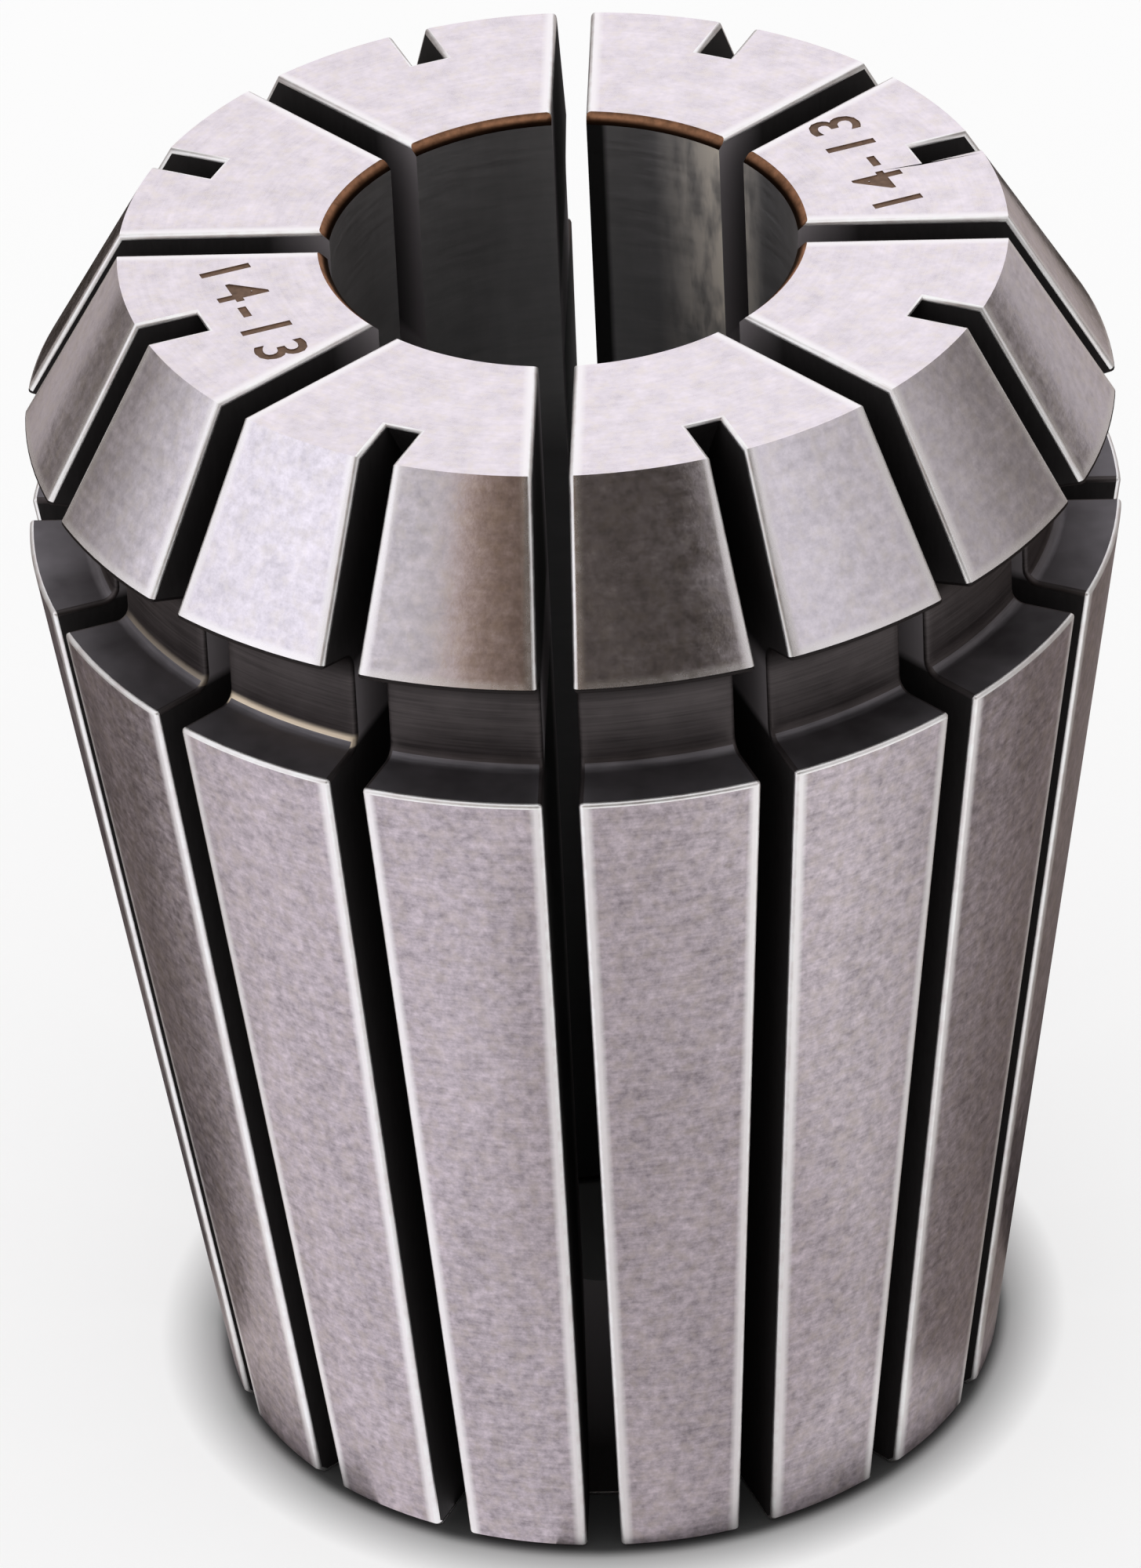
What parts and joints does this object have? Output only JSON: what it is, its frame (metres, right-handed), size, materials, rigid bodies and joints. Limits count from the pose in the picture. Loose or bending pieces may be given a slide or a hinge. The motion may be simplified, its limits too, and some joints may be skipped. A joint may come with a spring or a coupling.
{
  "type": "er collet",
  "caption": "One-piece slit spring collet: steep front cone and nut groove on a head, shallow rear taper, and a round bore that closes on a tool shank.",
  "frame": {"origin": "centre of the small rear end face, on the collet's axis", "axes": "+Z along the axis, from the small rear end to the front face; +X and -Y run through slots sawn from the front"},
  "size_m": [0.033, 0.033, 0.04],
  "materials": {
    "ground_steel": "hardened spring steel, ground on the face and tapers, darker in the groove, bore and slots"
  },
  "bodies": {
    "root": {"collet_body": "ground_steel"}
  },
  "joints": []
}
